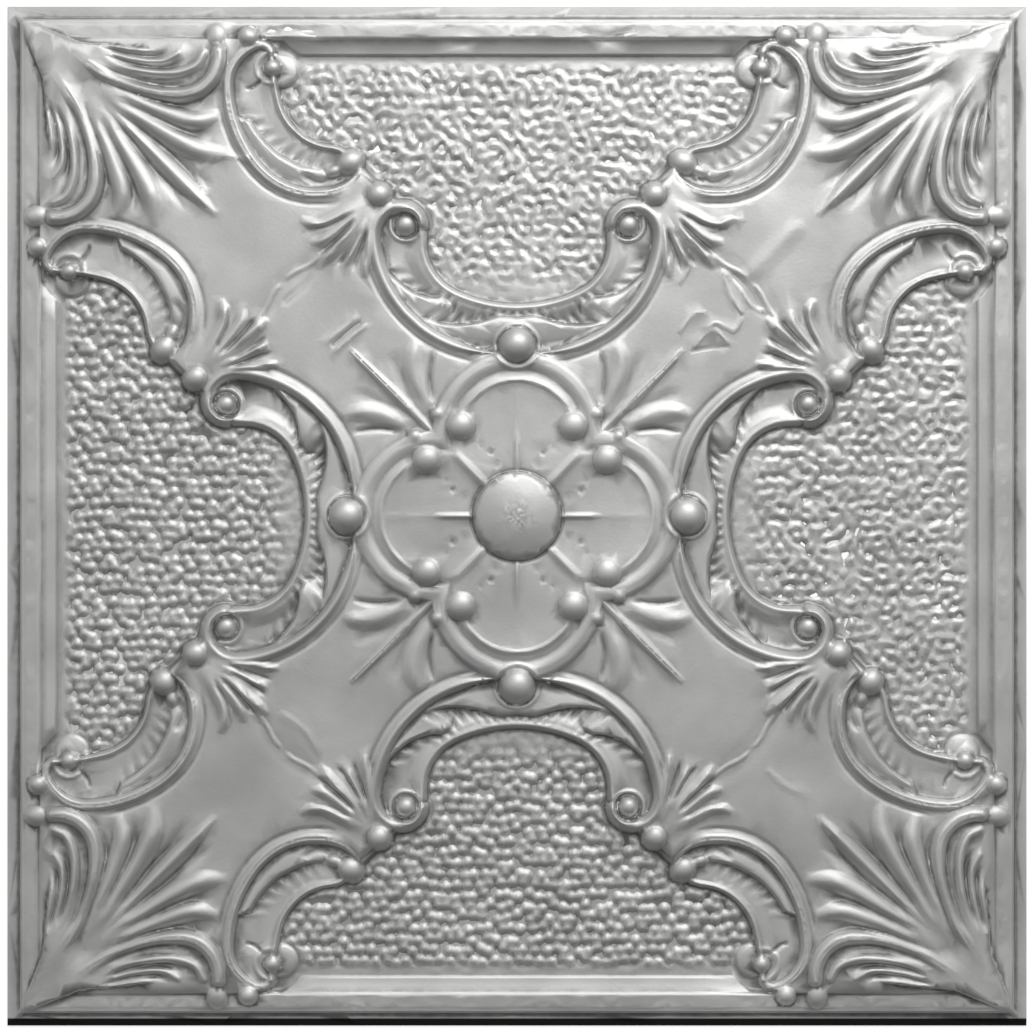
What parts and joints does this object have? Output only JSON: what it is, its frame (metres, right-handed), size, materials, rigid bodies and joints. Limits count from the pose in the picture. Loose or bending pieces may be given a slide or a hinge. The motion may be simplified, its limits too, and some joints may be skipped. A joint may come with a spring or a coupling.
{
  "type": "pressed metal ceiling panel",
  "caption": "Square pressed metal ceiling panel with scrolls, leaf fans, beads and a central rosette, nailed up by its flat rim.",
  "frame": {"origin": "centre of the square panel, on the plane of the flange's back", "axes": "+X and +Y along the panel's sides, +Z out of the decorated face"},
  "size_m": [0.61, 0.61, 0.0226],
  "materials": {
    "silver_paint": "satin"
  },
  "bodies": {
    "root": {"pressed_panel": "silver_paint"}
  },
  "joints": []
}
